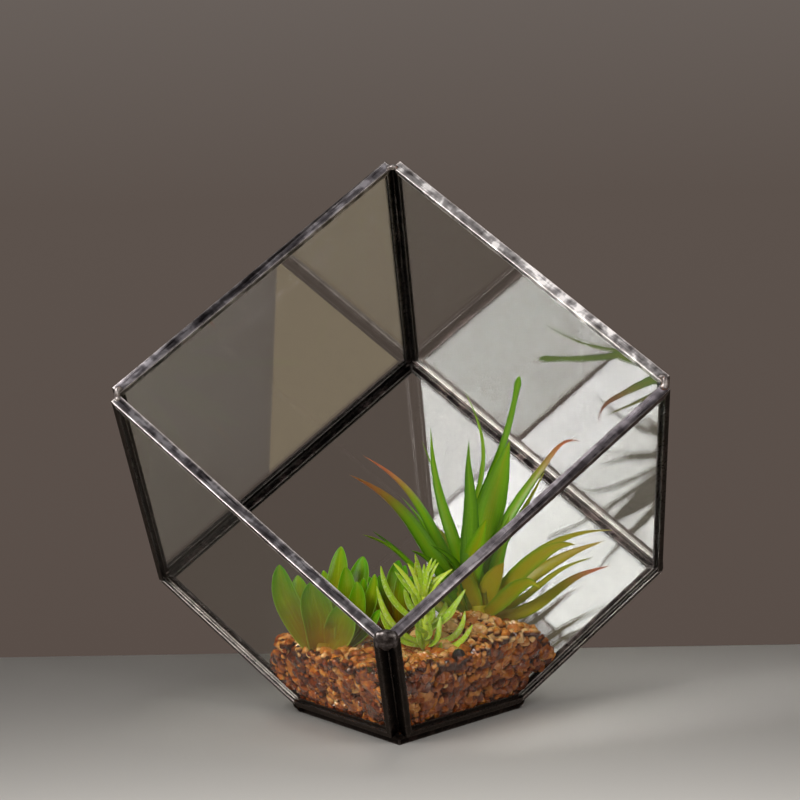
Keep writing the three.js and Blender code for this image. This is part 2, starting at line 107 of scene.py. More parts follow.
def zinc_came(name, hollow, body, rubbed, edges, along=(0, 0, 0)):
    """Zinc came with black patina: dark in its hollows, blotched where thin, painted light at its edges.

    Edges is how strongly the edges are painted light: a painted highlight that partly stands for bare worn
    metal. Along is the way the came was drawn, where its streaks show. Real draw marks are too fine to
    show, so they are drawn 1.3 mm wide.
    """
    material, tree, surface = new_material(name)
    place = add(tree, "ShaderNodeTexCoord", {}).outputs["Object"]

    # Streaks run ten times longer along the came than across it, and ripples two and a half times shorter.
    distance = add(tree, "ShaderNodeVectorMath", {"operation": "DOT_PRODUCT", 0: place, 1: along})
    lengthwise = add(tree, "ShaderNodeVectorMath", {
        "operation": "SCALE", 0: along, "Scale": distance.outputs["Value"]})
    drawn = add(tree, "ShaderNodeVectorMath", {
        "operation": "MULTIPLY_ADD", 0: lengthwise.outputs["Vector"], 1: (-0.9, -0.9, -0.9), 2: place})
    crossed = add(tree, "ShaderNodeVectorMath", {
        "operation": "MULTIPLY_ADD", 0: lengthwise.outputs["Vector"], 1: (1.5, 1.5, 1.5), 2: place})
    clouds = add(tree, "ShaderNodeTexNoise", {
        "Vector": place, "Scale": 1 / (6 * MM), "Detail": 2.0, "Roughness": 0.5})
    streaks = add(tree, "ShaderNodeTexNoise", {
        "Vector": drawn.outputs["Vector"], "Scale": 1 / (1.3 * MM), "Detail": 3.0, "Roughness": 0.6})
    ripple = add(tree, "ShaderNodeTexNoise", {
        "Vector": crossed.outputs["Vector"], "Scale": 1 / (4 * MM), "Detail": 3.0, "Roughness": 0.55})
    streaked = add(tree, "ShaderNodeMath", {
        "operation": "MULTIPLY_ADD", 0: streaks.outputs["Fac"], 1: 0.5, 2: clouds.outputs["Fac"]})
    tone = add(tree, "ShaderNodeMath", {
        "operation": "MULTIPLY_ADD", 0: ripple.outputs["Fac"], 1: 0.35, 2: streaked.outputs[0]})
    patina = add(tree, "ShaderNodeValToRGB", {
        "Fac": tone.outputs[0], "stops": [(0.72, paint(hollow)), (0.92, paint(body))]})
    thin = add(tree, "ShaderNodeMapRange", {"Value": tone.outputs[0], "From Min": 0.93, "From Max": 1.06})
    blotched = add(tree, "ShaderNodeMix", {
        "data_type": "RGBA", "Factor": thin.outputs["Result"],
        UNDER: patina.outputs["Color"], OVER: paint(rubbed)})

    # An edge is where the surface, rounded off, would face another way than it does.
    rounded = add(tree, "ShaderNodeBevel", {"samples": 4, "Radius": 1.2 * MM})
    flat = add(tree, "ShaderNodeNewGeometry", {})
    agreement = add(tree, "ShaderNodeVectorMath", {
        "operation": "DOT_PRODUCT", 0: rounded.outputs["Normal"], 1: flat.outputs["Normal"]})
    edge = add(tree, "ShaderNodeMapRange", {
        "Value": agreement.outputs["Value"], "From Min": 0.98, "From Max": 0.88})
    # Painted highlight: how light the edges are painted, a little more where the patina is thin.
    wear_and_highlight = add(tree, "ShaderNodeMapRange", {
        "Value": tone.outputs[0], "From Min": 0.75, "To Min": edges * 0.7, "To Max": edges})
    worn = add(tree, "ShaderNodeMath", {
        "operation": "MULTIPLY", 0: edge.outputs["Result"], 1: wear_and_highlight.outputs["Result"]})
    colour = add(tree, "ShaderNodeMix", {
        "data_type": "RGBA", "Factor": worn.outputs[0],
        UNDER: blotched.outputs[MIXED], OVER: paint("f0e4de")})

    # The edges' painted highlight, partly bare worn metal, is made dull, so it stays light even where it
    # would mirror something dark.
    metallic = add(tree, "ShaderNodeMapRange", {"Value": worn.outputs[0], "To Min": 1.0, "To Max": 0.2})
    roughness = add(tree, "ShaderNodeMapRange", {
        "Value": streaks.outputs["Fac"], "From Min": 0.3, "From Max": 0.7, "To Min": 0.24, "To Max": 0.36})
    bump = add(tree, "ShaderNodeBump", {
        "Height": ripple.outputs["Fac"], "Strength": 0.12, "Distance": 0.1 * MM})
    metal = add(tree, "ShaderNodeBsdfPrincipled", {
        "Base Color": colour.outputs[MIXED], "Metallic": metallic.outputs["Result"],
        "Roughness": roughness.outputs["Result"], "Normal": bump.outputs["Normal"]})
    tree.links.new(metal.outputs[0], surface)
    return material


def soft_solder(name, hollow, body, bright, copper, relief):
    """Tin-lead solder: bright where it flowed, dulled in its hollows, with flecks of copper tape in it.

    Copper is how much of the tape shows, and relief is how uneven the solder is.
    """
    material, tree, surface = new_material(name)
    place = add(tree, "ShaderNodeTexCoord", {}).outputs["Object"]
    clouds = add(tree, "ShaderNodeTexNoise", {
        "Vector": place, "Scale": 1 / (2.2 * MM), "Detail": 5.0, "Roughness": 0.65})
    tarnish = add(tree, "ShaderNodeValToRGB", {"Fac": clouds.outputs["Fac"], "stops": [
        (0.32, paint(hollow)), (0.5, paint(body)), (0.64, paint(bright))]})
    tape = add(tree, "ShaderNodeTexNoise", {
        "Vector": place, "Scale": 1 / (1.7 * MM), "Detail": 2.0, "Distortion": 1.5})
    fleck = add(tree, "ShaderNodeMapRange", {
        "Value": tape.outputs["Fac"], "From Min": 0.62, "From Max": 0.66, "To Max": copper})
    colour = add(tree, "ShaderNodeMix", {
        "data_type": "RGBA", "Factor": fleck.outputs["Result"],
        UNDER: tarnish.outputs["Color"], OVER: paint("c0733f")})
    bump = add(tree, "ShaderNodeBump", {
        "Height": clouds.outputs["Fac"], "Strength": relief, "Distance": 0.25 * MM})
    metal = add(tree, "ShaderNodeBsdfPrincipled", {
        "Base Color": colour.outputs[MIXED], "Metallic": 0.75, "Roughness": 0.36,
        "Normal": bump.outputs["Normal"]})
    tree.links.new(metal.outputs[0], surface)
    return material


def flow(node):
    """Melt a solder joint's facets into one smooth skin."""
    skin = node.modifiers.new("one skin", "REMESH")
    skin.mode = "VOXEL"
    skin.voxel_size = 0.25 * MM
    skin.use_smooth_shade = True
    settled = node.modifiers.new("flowed", "SMOOTH")
    settled.factor = 0.5
    settled.iterations = 12


# Pieces made of many closed shapes


def loft(rings, marks):
    """A closed skin over rings of points (rings, points, 3), with four marks for each point."""
    count, around = rings.shape[:2]
    points = [tuple(p) for p in rings.reshape(-1, 3)]
    faces = []
    for first in range(0, (count - 1) * around, around):
        for here in range(around):
            beside = (here + 1) % around
            faces.append((first + here, first + beside, first + around + beside, first + around + here))
    faces.append(tuple(reversed(range(around))))
    faces.append(tuple((count - 1) * around + here for here in range(around)))
    return points, faces, [tuple(m) for m in marks.reshape(-1, 4)]


def make_piece(name, shapes, material, node=None, smooth=True):
    """Join closed shapes, in mm, into one piece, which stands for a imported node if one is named."""
    points, faces, marks = [], [], []
    for shape_points, shape_faces, shape_marks in shapes:
        start = len(points)
        points += shape_points
        faces += [tuple(start + i for i in face) for face in shape_faces]
        marks += shape_marks
    mesh = bpy.data.meshes.new(name)
    mesh.from_pydata([Vector(p) * MM for p in points], [], faces)
    mesh.attributes.new("mark", "FLOAT_COLOR", "POINT").data.foreach_set("color", np.ravel(marks))
    if smooth:
        mesh.shade_smooth()
    mesh.materials.append(material)
    piece = bpy.data.objects.new(name, mesh)
    bpy.context.collection.objects.link(piece)
    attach(piece, "root")
    if node:
        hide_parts(node)
    return piece


def ball(cuts):
    """Directions and triangles of a ball: an icosahedron whose edges are cut a number of times."""
    mesh = bpy.data.meshes.new("ball")
    shape = bmesh.new()
    bmesh.ops.create_icosphere(shape, subdivisions=1, radius=1)
    bmesh.ops.subdivide_edges(shape, edges=shape.edges, cuts=cuts, use_grid_fill=True)
    bmesh.ops.triangulate(shape, faces=shape.faces)
    shape.to_mesh(mesh)
    shape.free()
    directions = np.array([v.co[:] for v in mesh.vertices])
    triangles = [tuple(p.vertices) for p in mesh.polygons]
    bpy.data.meshes.remove(mesh)
    return directions / np.linalg.norm(directions, axis=1, keepdims=True), triangles


def drop(place, radii, mark=(0, 0, 0, 1)):
    """A rounded drop or pebble."""
    directions, triangles = ball(3)
    points = [tuple(Vector(place) + Vector(d * radii)) for d in directions]
    return points, triangles, [mark] * len(points)


def rod(low, high, radius):
    """A round stem between two places, with the marks of a ripe leaf."""
    sides = 12
    ahead = (high - low).normalized()
    side = ahead.orthogonal().normalized()
    across = ahead.cross(side)
    turns = np.linspace(0, 2 * math.pi, sides, endpoint=False)
    rings = np.array([[place + radius * (side * math.cos(t) + across * math.sin(t)) for t in turns]
                      for place in (low, high)])
    return loft(rings, np.tile((0.3, 0.5, 0.8, 0), (2 * sides, 1)))


# The case. Its corners are those of a glass cube that stands on one corner, with that corner cut off.

EDGE = 150                                            # inner edge of the glass cube
CUT = 0.42                                            # share of its three lowest edges that is cut off
FOOT = 5.15                                           # height of the three corners at the cut
TIP = FOOT - CUT * EDGE / math.sqrt(3)                # height of the corner that is cut off


def cube_corner(compass, level):
    """A corner of the cube toward a compass angle (0 is the front), one or two levels above its lowest."""
    angle = math.radians(compass)
    radius = EDGE * math.sqrt(2 / 3)
    return Vector((radius * math.sin(angle), -radius * math.cos(angle), level * EDGE / math.sqrt(3) + TIP))


CORNERS = {
    "apex": Vector((0, 0, EDGE * math.sqrt(3) + TIP)),
    "left": cube_corner(-60, 2), "right": cube_corner(60, 2), "back": cube_corner(180, 2),
    "front": cube_corner(0, 1), "low_left": cube_corner(-120, 1), "low_right": cube_corner(120, 1),
}
for foot, corner in (("foot_front", "front"), ("foot_left", "low_left"), ("foot_right", "low_right")):
    CORNERS[foot] = Vector((0, 0, TIP)).lerp(CORNERS[corner], CUT)

# Edges where two walls meet: their cames are soldered together along the notch between them.
SEAMS = [("back", "apex"), ("low_left", "left"), ("low_right", "right"), ("low_left", "back"),
         ("low_right", "back"), ("foot_front", "front"), ("foot_left", "low_left"),
         ("foot_right", "low_right")]

# Solder on the corners in sight, as drops: each one's middle, from the corner, and its half sizes.
JOINTS = {
    "apex": [((0, -0.4, -0.2), (1.9, 1.5, 1.3)), ((-1.4, -0.2, -0.6), (1.3, 1.2, 1.0)),
             ((1.4, -0.2, -0.4), (1.3, 1.2, 1.0))],
    "left": [((-0.5, -0.7, 0.2), (1.2, 1.3, 2.8)), ((-0.3, -1.0, -2.0), (1.2, 1.2, 1.2)),
             ((0.1, -0.3, 2.2), (1.5, 1.2, 1.1))],
    "right": [((0.9, -0.6, 0.2), (1.5, 1.4, 2.9)), ((0.4, -1.0, -1.8), (1.9, 1.2, 1.5)),
              ((0.2, -0.3, 2.2), (2.0, 1.2, 1.2))],
    "front": [((0, -1.0, -1.4), (3.7, 1.9, 2.8)), ((-3.0, -0.9, -2.6), (1.6, 1.5, 3.4)),
              ((3.0, -0.9, -2.6), (1.6, 1.5, 3.4)), ((0, -0.8, -3.6), (2.6, 1.3, 3.2))],
    "foot_left": [((-2.2, -0.9, -1.0), (2.2, 2.2, 2.6)), ((-1.0, -0.5, -2.8), (1.9, 1.9, 2.2))],
    "foot_right": [((2.2, -0.9, -1.0), (2.2, 2.2, 2.6)), ((1.0, -0.5, -2.8), (1.9, 1.9, 2.2))],
}


def seam_ends(low, high, lift, stop):
    """Both ends of a seam, lifted out of its notch and stopped short of its corners."""
    cube_middle = Vector((0, 0, EDGE * math.sqrt(3) / 2 + TIP))
    start, end = CORNERS[low], CORNERS[high]
    along = (end - start).normalized()
    outward = (start + end) / 2 - cube_middle
    outward = (outward - along * outward.dot(along)).normalized()
    return start + outward * lift + along * stop, end + outward * lift - along * stop


def dress_case():
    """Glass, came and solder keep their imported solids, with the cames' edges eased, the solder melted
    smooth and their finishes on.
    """
    # Float glass has an IOR of 1.52. The plants are seen through the front panes, so these mirror less than
    # real ones, and the panes behind show the lamps, so they mirror more.
    panes = {
        "front": float_glass("clear_float_glass", ior=1.08),
        "back": float_glass("bright_float_glass", ior=2.15),
        "rear": float_glass("plain_float_glass", ior=1.78),
    }
    panes["base"] = panes["rear"]

    rising_left = (CORNERS["left"] - CORNERS["front"]).normalized()
    rising_right = (CORNERS["right"] - CORNERS["front"]).normalized()
    # Painted reflection and highlight: all cames are one black-patinated zinc came, and the lighter copies
    # below paint in, strip by strip, what it mirrors and the highlights along its edges; the worn copy is
    # painted highlight on its body and edges, and the lightest copy paints a white highlight line.
    black = zinc_came("black_came", "060404", "151110", "3d3331", edges=0.22)
    worn = zinc_came("worn_black_came", "0a0808", "2b2625", "5d5553", edges=1.0)
    cames = {
        "came_front_left_low_left_foot_left": worn,
        "came_front_right_foot_right_low_right": worn,
        "came_back_right_low_right_back": zinc_came(
            "polished_came", "7a7472", "d0cac6", "f8f4f0", edges=1.0),
        "came_front_left_front_left": zinc_came(
            "came_left_painted_reflection", "3c383a", "686366", "a6a1a4", edges=1.0, along=rising_left),
        "came_back_right_apex_right": zinc_came(
            "came_right_painted_reflection", "443f3e", "8a8584", "e6e0dd", edges=1.0, along=rising_left),
        "came_front_right_right_front": zinc_came(
            "lilac_came_right_painted_reflection", "5e585c", "8a8287", "aea6ab", edges=0.4, along=rising_right),
        "came_back_left_left_apex": zinc_came(
            "lilac_came_left_painted_reflection", "343033", "656063", "a09a9e", edges=0.6, along=rising_right),
    }

    dull = soft_solder("dull_solder", "2c2422", "5d5552", "8d8582", copper=0.0, relief=0.15)
    blackened = soft_solder("blackened_solder", "0c0908", "1f1a18", "3f3835", copper=0.4, relief=0.15)
    bright = soft_solder("bright_solder", "6a605c", "b8aeaa", "ece2dc", copper=0.8, relief=0.6)

    for name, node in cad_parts.items():
        if name.startswith("glass_"):
            wall = name.split("_")[1]
            node.material_slots[0].material = panes[wall]
        elif name.startswith("came_"):
            node.material_slots[0].material = cames.get(name, black)
            weld = node.modifiers.new("shared corners", "WELD")
            weld.merge_threshold = 0.005 * MM
            eased = node.modifiers.new("eased edges", "BEVEL")
            eased.width = 0.2 * MM
            eased.segments = 2
            eased.harden_normals = True
        elif name.startswith("solder_"):
            node.material_slots[0].material = blackened
            flow(node)

    for name, drops in JOINTS.items():
        shapes = [drop(CORNERS[name] + Vector(middle), radii) for middle, radii in drops]
        finish = {"front": dull, "foot_left": blackened, "foot_right": blackened}.get(name, bright)
        flow(make_piece(f"{name}_solder_joint", shapes, finish, f"solder_{name}"))
    seams = [rod(*seam_ends(low, high, lift=0.32, stop=3.2), radius=0.42) for low, high in SEAMS]
    make_piece("seam_solder", seams, black)


# Grit. The bed's shape repeats the part's: level, heaped round the tall plant, steep at its two ends.

BASE_TOP = 4.4                                        # height of the grit's foot, on the base pane
AIR_AT_GLASS = 0.45                                   # from the cube's faces out to the grit on the glass
WALLS = [math.radians(a) for a in (-60, 60, 180)]     # compass angles of the three lower walls
WALL_NORMALS = [Vector((math.sin(a), -math.cos(a), -math.sqrt(0.5))).normalized() for a in WALLS]


def smoothstep(value, low, high):
    """0 up to low, 1 from high on, and a smooth rise between."""
    t = min(max((value - low) / (high - low), 0), 1)
    return t * t * (3 - 2 * t)


def bed_top(x, y):
    """Height of the grit over a point of the table."""
    def hump(cx, cy, spread):
        return math.exp(-((x - cx) ** 2 + (y - cy) ** 2) / spread ** 2)
    level = 35 + 11 * hump(26, -4, 24) + 3 * hump(-46, 4, 12)
    ends = 30 * smoothstep(-x, 49, 63) + 26 * smoothstep(x, 50, 78) + 14 * smoothstep(y, 22, 46)
    return level - ends + 2.2 * noise.noise(Vector((x, y, 3)) / 9)


def wall_outward(angle):
    """How far a compass direction points at the nearest of the three walls."""
    return max(math.cos(angle - wall) for wall in WALLS)


def wall_radius(angle, z, inset):
    """Distance from the axis to the glass along a compass angle, at a height, less an inset."""
    return ((z - TIP) / math.sqrt(3) - inset) / math.sqrt(2 / 3) / wall_outward(angle)


def bed_place(angle, share, inset):
    """A point of the bed's surface: share runs to 1 over its top to the glass, to 2 down to the base."""
    sideways, ahead = math.sin(angle), -math.cos(angle)

    # Two distances from the axis close in on the rim, where the top meets the glass.
    near, far = 2.0, 120.0
    for _ in range(16):
        rim = (near + far) / 2
        rim_top = max(bed_top(rim * sideways, rim * ahead) - inset, BASE_TOP + inset)
        if wall_radius(angle, rim_top, inset) > rim:
            near = rim
        else:
            far = rim

    if share <= 1:
        x, y = rim * share * sideways, rim * share * ahead
        return Vector((x, y, max(bed_top(x, y) - inset, BASE_TOP + inset)))
    lowest = BASE_TOP + 0.3 + inset
    z = rim_top + (share - 1) * (lowest - rim_top)
    radius = wall_radius(angle, z, inset)
    return Vector((radius * sideways, radius * ahead, z))


def between_walls(points):
    """Grit pressed flat where it would reach into the glass or the base."""
    for outward in WALL_NORMALS:
        beyond = (points - np.array([0, 0, TIP])) @ np.array(outward) - AIR_AT_GLASS
        points = points - np.maximum(beyond, 0)[:, None] * np.array(outward)
    points[:, 2] = np.maximum(points[:, 2], BASE_TOP)
    return points


def grain(place, radius, outward, template, draw):
    """One quartz grain: a ball cut by random planes whose meetings are a little worn.

    Its marks are lightness, which runs in clumps and rises to the top of the heap, warmth, and how far each
    point is out of the bed, which sets how much painted shade it gets between the grains.
    """
    planes = 9
    sharpness = 24
    directions, triangles = template
    normals = draw.normal(size=(planes, 3))
    normals /= np.linalg.norm(normals, axis=1, keepdims=True)
    cut = draw.uniform(0.55, 1.0, planes) / np.maximum(directions @ normals.T, 1e-3)
    worn = (np.minimum(cut, 1.3) ** -sharpness).sum(axis=1) ** (-1 / sharpness)
    stretch = draw.uniform(0.75, 1.15, 3)
    points = directions * worn[:, None] * stretch * radius * 1.3
    turn, _ = np.linalg.qr(draw.normal(size=(3, 3)))
    points = points @ turn
    out = np.clip(0.5 + 0.5 * (points @ np.array(outward)) / radius, 0, 1)
    points = between_walls(points + np.array(place))
    own, warmth = draw.uniform(size=2)
    clump = 0.5 + 0.9 * noise.noise(Vector(place) / 6)
    lightness = 0.7 * own + 0.4 * clump + 0.55 * smoothstep(place[2], 30, 38) - 0.18
    return [tuple(p) for p in points], triangles, [(lightness, warmth, o, 1) for o in out]


def grit_places(draw):
    """Grains close together over the lumpy surface, the large ones first and small ones in their gaps.

    Each has a place, a radius and the direction that leads out of the bed there.
    """
    crowding = 0.74                                   # least distance of two grains, by their radii's sum
    places, radii, outwards = np.empty((0, 3)), np.empty(0), []
    for least, most, tries in ((2.6, 4.0, 3000), (1.7, 2.5, 4500), (1.0, 1.5, 5000)):
        for _ in range(tries):
            radius = draw.uniform(least, most)
            share = draw.uniform(0, 2)
            if share < 1:
                share = math.sqrt(share)
            angle = draw.uniform(0, 2 * math.pi)
            inset = 1.2 * radius
            hollow = max(noise.noise(bed_place(angle, share, inset) / 6), -0.1)
            place = np.array(bed_place(angle, share, inset + 4 * hollow))
            if np.all(np.linalg.norm(places - place, axis=1) > crowding * (radii + radius)):
                places = np.vstack([places, place])
                radii = np.append(radii, radius)
                nearest = max(range(3), key=lambda i: math.cos(angle - WALLS[i]))
                outwards.append(Vector((0, 0, 1)) if share <= 1 else WALL_NORMALS[nearest])
    return places, radii, outwards


def grit():
    """Lumps, grains and chips of quartz, round a middle painted in shade colour that closes the gaps
    between them.
    """
    draw = np.random.default_rng(11)
    places, radii, outwards = grit_places(draw)
    material = quartz_grit()
    angles = np.linspace(0, 2 * math.pi, 72, endpoint=False)
    shares = [0.02, 0.2, 0.4, 0.6, 0.8, 0.94, 1, 1.1, 1.3, 1.5, 1.7, 1.9, 2]
    rings = np.array([[bed_place(angle, share, inset=4.9) for angle in angles] for share in shares])
    # The middle's marks put it wholly in the painted shade.
    middle = loft(rings[::-1], np.tile((0.3, 0.5, 0.3, 0), (len(shares) * len(angles), 1)))
    dark_pebble = drop((23.3, -46.1, 34.8), (2.7, 2.4, 3.0), mark=(-1, 0, 1, 1))
    loose_grain = grain((-8.5, 8, 38.6), 2.3, Vector((0, 0, 1)), ball(3), draw)
    for name, cuts, least, most, extra in (
            ("quartz_lumps", 3, 2.5, 9, [middle, dark_pebble, loose_grain]),
            ("quartz_grains", 2, 1.6, 2.5, []), ("quartz_chips", 1, 0, 1.6, [])):
        template = ball(cuts)
        grains = [grain(place, radius, outward, template, draw)
                  for place, radius, outward in zip(places, radii, outwards) if least <= radius < most]
        make_piece(name, [*extra, *grains], material, "grit_bed", smooth=False)


def quartz_grit():
    """Crushed quartz, iron-stained from honey to rust: glassy, lit from inside, with painted shade in its
    gaps.

    Its stains are about 3.4 mm across and its crystals 2.4 mm.
    """
    material, tree, surface = new_material("iron_stained_quartz")
    mark = add(tree, "ShaderNodeAttribute", {"attribute_name": "mark"})
    parts = add(tree, "ShaderNodeSeparateColor", {"Color": mark.outputs["Color"]})
    lightness, warmth, out = parts.outputs["Red"], parts.outputs["Green"], parts.outputs["Blue"]

    # Each grain has its own part of the pattern, so that no stain runs on from one grain to the next.
    own = add(tree, "ShaderNodeCombineXYZ", {"X": lightness, "Y": warmth})
    place = add(tree, "ShaderNodeVectorMath", {
        "operation": "ADD", 0: add(tree, "ShaderNodeTexCoord", {}).outputs["Object"], 1: own.outputs[0]})
    stain = add(tree, "ShaderNodeTexNoise", {
        "Vector": place.outputs["Vector"], "Scale": 1 / (3.4 * MM), "Detail": 3.0, "Roughness": 0.5})
    spread = add(tree, "ShaderNodeMath", {"operation": "MULTIPLY", 0: lightness, 1: 0.6})
    mixed = add(tree, "ShaderNodeMath", {
        "operation": "MULTIPLY_ADD", 0: stain.outputs["Fac"], 1: 0.75, 2: spread.outputs[0]})
    honey = add(tree, "ShaderNodeValToRGB", {"Fac": mixed.outputs[0], "stops": [
        (0.1, paint("1c0e0a")), (0.3, paint("542006")), (0.46, paint("803409")), (0.62, paint("b45c12")),
        (0.78, paint("de8c30")), (0.92, paint("f8c682"))]})
    rust = add(tree, "ShaderNodeValToRGB", {"Fac": mixed.outputs[0], "stops": [
        (0.3, paint("4e1a04")), (0.6, paint("903a08")), (0.92, paint("cc6c16"))]})
    rusty = add(tree, "ShaderNodeMapRange", {
        "Value": warmth, "From Min": 0.6, "From Max": 0.95, "To Max": 0.8})
    stained = add(tree, "ShaderNodeMix", {
        "data_type": "RGBA", "Factor": rusty.outputs["Result"],
        UNDER: honey.outputs["Color"], OVER: rust.outputs["Color"]})

    # Painted shade: a grain is darkened where it lies deep between others, and the middle all over.
    lit = add(tree, "ShaderNodeMapRange", {
        "interpolation_type": "SMOOTHSTEP", "Value": out, "From Min": 0.38, "From Max": 0.82})
    colour = add(tree, "ShaderNodeMix", {
        "data_type": "RGBA", "Factor": lit.outputs["Result"],
        UNDER: paint("4a1a04"), OVER: stained.outputs[MIXED]})

    crystals = add(tree, "ShaderNodeTexVoronoi", {
        "Vector": place.outputs["Vector"], "Scale": 1 / (2.4 * MM)})
    relief = add(tree, "ShaderNodeMath", {
        "operation": "MULTIPLY_ADD", 0: stain.outputs["Fac"], 1: 1.5, 2: crystals.outputs["Distance"]})
    bump = add(tree, "ShaderNodeBump", {
        "Height": relief.outputs[0], "Strength": 0.8, "Distance": 0.5 * MM})
    stone = add(tree, "ShaderNodeBsdfPrincipled", {
        "Base Color": colour.outputs[MIXED], "Roughness": 0.13, "IOR": 1.54, "Subsurface Weight": 0.4,
        "Subsurface Radius": (1.0, 0.42, 0.14), "Subsurface Scale": 1.2 * MM, "Coat Weight": 0.6,
        "Coat Roughness": 0.04, "Normal": bump.outputs["Normal"]})
    tree.links.new(stone.outputs[0], surface)
    return material


# Leaves. A row leaves its root toward a compass angle (0 is the front, 90 the right) and ends reach mm out
# and height mm up. Its middle stands arch mm above the straight line and sway mm to the side of it, and its
# blade is width mm wide. The upper face looks at the plant's axis where facing is 0 and at the viewer where
# it is 1, twist degrees turn it on the way to the tip, curl bends the tip down and snake bends the blade to
# one side and back. Numbers that a row leaves out at its end are 0.


def leaf(root, row, form, tone, blush, draw):
    """One leaf as a closed skin. Its marks are along, across, tone and blush."""
    compass, reach, height, arch, sway, width, facing, twist, curl, snake = (list(row) + [0] * 10)[:10]
    angle = math.radians(compass)
    up = Vector((0, 0, 1))
    out = Vector((math.sin(angle), -math.cos(angle), 0))
    aside = Vector((-out.y, out.x, 0))
    start = min(reach / 2, form["root_offset"])
    chord = out * (reach - start) + up * height
    above = (up * (reach - start) - out * height).normalized()
    looking = (up - 0.5 * out).normalized().lerp(Vector((0, -1, 0)), facing)
    broadside = looking.cross(chord).normalized()

    def spine(u):
        """The leaf's middle line, from 0 at its root to 1 at its tip."""
        bow = 4 * u * (1 - u)
        droop = curl * max(0, (u - 0.8) / 0.2) ** 2
        ripple = form["waver"] * width * math.sin(9 * u + 7 * tone) * u * (1 - u)
        return (root + out * start + chord * u + above * (arch * bow) - up * droop
                + aside * (sway * bow + ripple) + broadside * (snake * math.sin(2 * math.pi * u)))

    # Rings stand closer toward the tip, and the last one keeps a little width.
    stations = 1 - (1 - np.linspace(0, 1, form["stations"])) ** 1.25
    stations[-1] = 0.997
    around = np.linspace(0, 2 * math.pi, form["around"], endpoint=False)
    rings, marks = [], []
    for u in stations:
        ahead = (spine(u + 0.01) - spine(u - 0.01)).normalized()
        side = Matrix.Rotation(math.radians(twist) * u, 3, ahead) @ looking.cross(ahead).normalized()
        face = ahead.cross(side)
        wide = width * form["width_at"](u)
        thinnest = 0.7 * min(1, (1 - u) * 12)
        thick = max(thinnest, wide * form["thickness"])
        for a in around:
            across = 0.5 * math.copysign(abs(math.cos(a)) ** 0.8, math.cos(a))
            if math.sin(a) > 0:
                depth = 0.2 + form["crown"] * math.sin(a) ** 1.5
            else:
                depth = 0.2 - form["keel"] * abs(math.sin(a)) ** 0.75
            tooth = 1 + form["teeth"] * draw.uniform(-1, 1) * (abs(across) > 0.45)
            rings.append(spine(u) + side * (wide * across * tooth) + face * (thick * depth))
            marks.append((u, across + 0.5, tone, blush))
    shape = np.array(rings).reshape(len(stations), len(around), 3)
    return loft(shape, np.array(marks))


# Leaf forms: width along the leaf and thickness as shares of the row's width, the upper face's crown (a
# channel where it is negative) and the lower face's keel as shares of the thickness, how rough the edges
# are (teeth) and how much the blade wavers.
LONG = {
    "width_at": lambda u: (0.75 + 1.3 * u) * (1 - u) ** 1.15 / 0.79,
    "thickness": 0.26, "root_offset": 2, "stations": 44, "around": 16, "crown": -0.45, "keel": 1.0,
    "teeth": 0.03, "waver": 0.3,
}
BROAD = {
    **LONG, "thickness": 0.2, "waver": 0.12,
    "width_at": lambda u: (0.55 + 1.5 * u) * (1 - u ** 2.2) ** 1.1,
}
STRAP = {
    **LONG, "waver": 0.05,
    "width_at": lambda u: ((1.25 - 0.75 * u) * (1 - u ** 40) ** 0.5
                           + 0.3 * math.exp(-((u - 0.965) / 0.022) ** 2)),
}
PADDLE = {
    "width_at": lambda u: (0.78 + 0.6 * u) * max(1 - u ** 3.4, 0) ** 0.7,
    "thickness": 0.36, "root_offset": 1.5, "stations": 30, "around": 20, "crown": -0.3, "keel": 0.9,
    "teeth": 0, "waver": 0.1,
}
NEEDLE = {
    "width_at": lambda u: (0.8 + 0.9 * u - 0.7 * u ** 2) * (1 - u ** 4.5) ** 0.6,
    "thickness": 0.42, "root_offset": 1, "stations": 20, "around": 12, "crown": 0.16, "keel": 0.8,
    "teeth": 0, "waver": 0.25,
}

